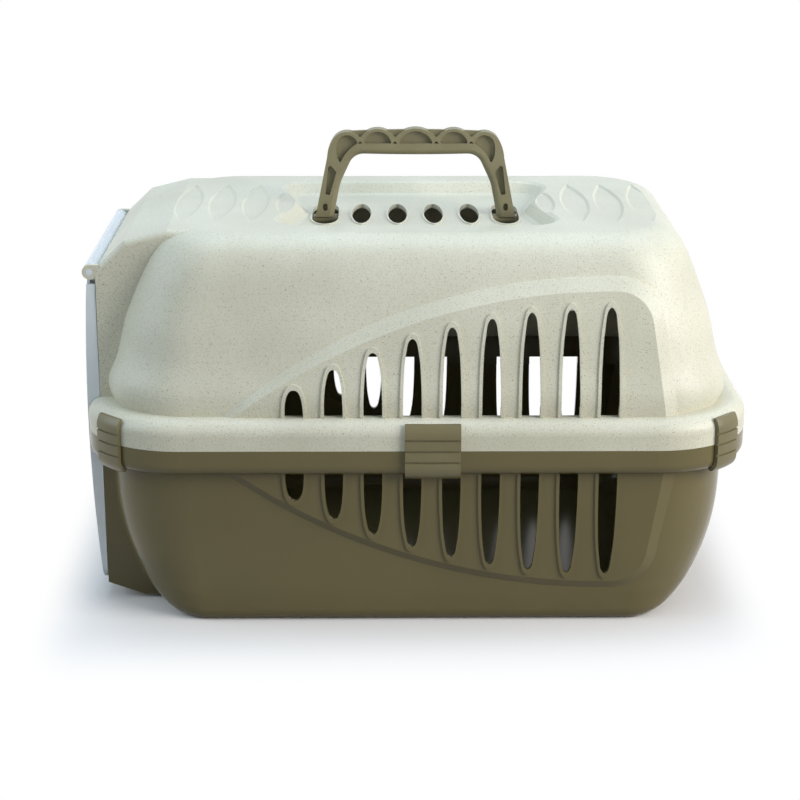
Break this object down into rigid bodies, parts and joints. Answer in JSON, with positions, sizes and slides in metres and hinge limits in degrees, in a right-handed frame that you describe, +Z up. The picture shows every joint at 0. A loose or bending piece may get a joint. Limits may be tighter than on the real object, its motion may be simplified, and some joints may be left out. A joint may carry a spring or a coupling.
{
  "type": "plastic pet carrier",
  "caption": "Rigid plastic pet carrier: ventilated upper shell clipped to a tray, clear door that swings up at one end, folding carry handle on top.",
  "frame": {"origin": "centre of the underside of the tray, on the surface that the carrier stands on", "axes": "+X towards the rear, with the door at -X; +Y towards the carrier's right side; +Z up"},
  "size_m": [0.5001, 0.3388, 0.3521],
  "materials": {
    "shell_cream": "satin, finely speckled",
    "tray_taupe": "gloss",
    "trim_taupe": "satin gloss",
    "door_clear": "clear moulded plastic, faint blue"
  },
  "bodies": {
    "carrier": {"lower_tray": "tray_taupe", "upper_shell": "shell_cream"},
    "front_door": {"front_door": "door_clear"},
    "carry_handle": {"carry_handle": "trim_taupe"},
    "left_side_clip": {"left_side_clip": "trim_taupe"},
    "front_left_clip": {"front_left_clip": "trim_taupe"},
    "rear_left_clip": {"rear_left_clip": "trim_taupe"},
    "right_side_clip": {"right_side_clip": "trim_taupe"},
    "front_right_clip": {"front_right_clip": "trim_taupe"},
    "rear_right_clip": {"rear_right_clip": "trim_taupe"}
  },
  "joints": [
    {"name": "door_hinge", "type": "hinge", "parent": "carrier", "child": "front_door", "pos_m": [-0.2445, 0, 0.261], "axis": [0, 1, 0], "range_deg": [0, 110]},
    {"name": "handle_hinge", "type": "hinge", "parent": "carrier", "child": "carry_handle", "pos_m": [0, 0, 0.2795], "axis": [1, 0, 0], "range_deg": [-60, 60]},
    {"name": "left_side_clip_hinge", "type": "hinge", "parent": "carrier", "child": "left_side_clip", "pos_m": [0.0105, -0.1614, 0.1222], "axis": [1, 0, 0], "range_deg": [0, 80]},
    {"name": "front_left_clip_hinge", "type": "hinge", "parent": "carrier", "child": "front_left_clip", "pos_m": [-0.22507, -0.14107, 0.1222], "axis": [0.7071, -0.7071, 0], "range_deg": [0, 80]},
    {"name": "rear_left_clip_hinge", "type": "hinge", "parent": "carrier", "child": "rear_left_clip", "pos_m": [0.22507, -0.14107, 0.1222], "axis": [0.7071, 0.7071, 0], "range_deg": [0, 80]},
    {"name": "right_side_clip_hinge", "type": "hinge", "parent": "carrier", "child": "right_side_clip", "pos_m": [0.0105, 0.1614, 0.1222], "axis": [-1, 0, 0], "range_deg": [0, 80]},
    {"name": "front_right_clip_hinge", "type": "hinge", "parent": "carrier", "child": "front_right_clip", "pos_m": [-0.22507, 0.14107, 0.1222], "axis": [-0.7071, -0.7071, 0], "range_deg": [0, 80]},
    {"name": "rear_right_clip_hinge", "type": "hinge", "parent": "carrier", "child": "rear_right_clip", "pos_m": [0.22507, 0.14107, 0.1222], "axis": [-0.7071, 0.7071, 0], "range_deg": [0, 80]}
  ]
}
